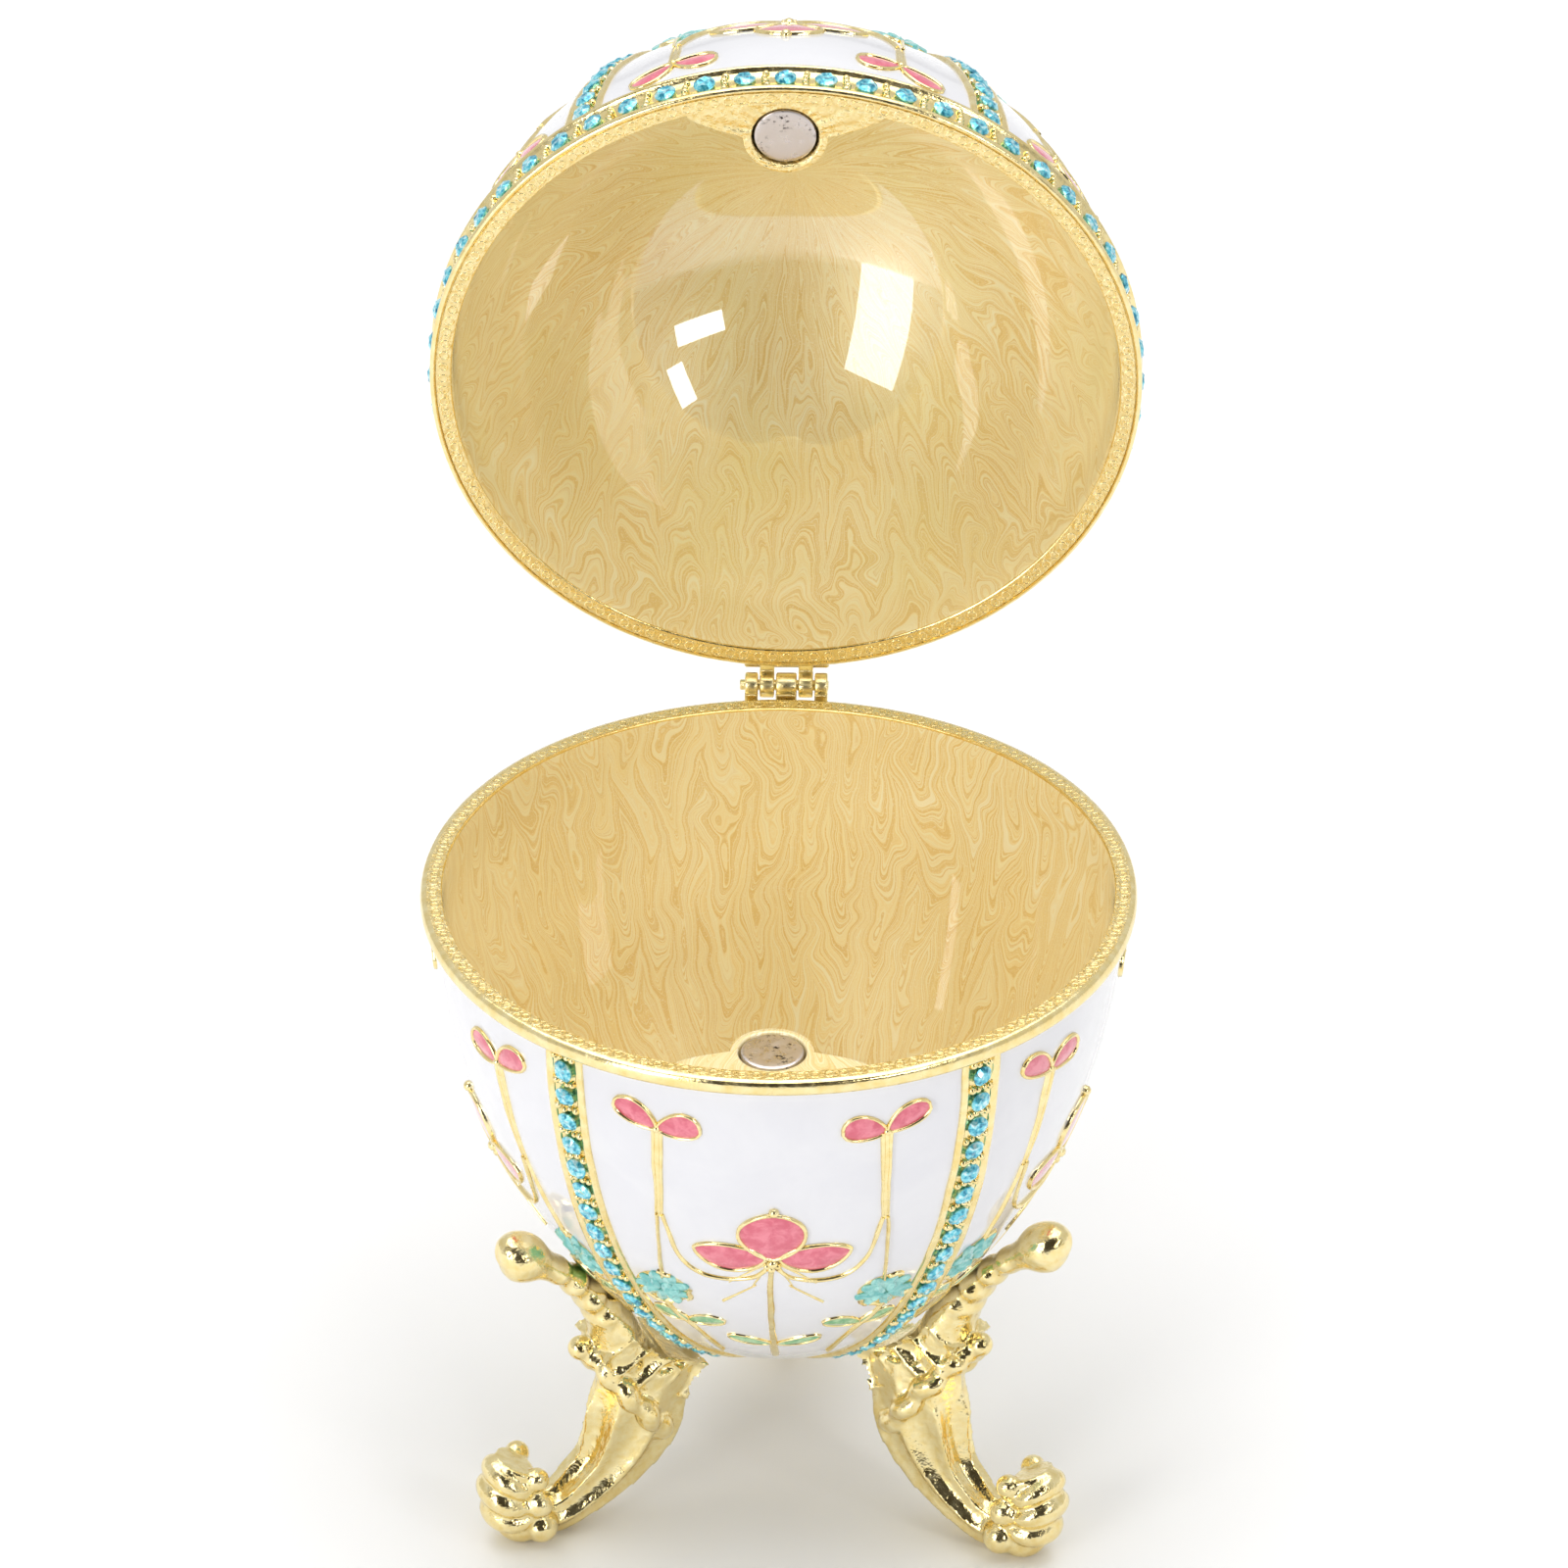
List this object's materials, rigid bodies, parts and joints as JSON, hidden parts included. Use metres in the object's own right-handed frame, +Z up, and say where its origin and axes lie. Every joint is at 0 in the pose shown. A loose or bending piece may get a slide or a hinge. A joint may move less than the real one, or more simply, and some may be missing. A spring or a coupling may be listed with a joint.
{
  "type": "jewelled egg trinket box",
  "caption": "Footed enamel egg trinket box with a hinged domed lid, magnetic clasp, jewelled bands and scroll legs.",
  "frame": {"origin": "on the surface it stands on, under the middle of the open box's footprint", "axes": "+Z up, -Y towards the front, where the clasp magnets are, X along the hinge"},
  "size_m": [0.0698, 0.1056, 0.1389],
  "materials": {
    "white_enamel": "gloss enamel",
    "gold_plate": "bright light gold plating",
    "pearl_enamel": "swirled pearl enamel under a clear gloss",
    "pink_enamel": "gloss enamel",
    "teal_enamel": "gloss enamel",
    "green_enamel": "gloss enamel",
    "crystal": "faceted aqua crystal",
    "magnet_nickel": "nickel plate, stained",
    "hinge_brass": "satin champagne brass"
  },
  "bodies": {
    "base": {"cup": "white_enamel", "cup_magnet": "magnet_nickel", "hinge_cup_leaf": "hinge_brass", "hinge_pin": "hinge_brass", "leg_left": "gold_plate", "leg_right": "gold_plate", "leg_back": "gold_plate"},
    "lid": {"lid": "white_enamel", "lid_magnet": "magnet_nickel", "hinge_lid_leaf": "hinge_brass"}
  },
  "joints": [
    {"name": "lid_hinge", "type": "hinge", "parent": "base", "child": "lid", "pos_m": [0, 0.01816, 0.0676], "axis": [1, 0, 0], "range_deg": [0, 85]}
  ]
}
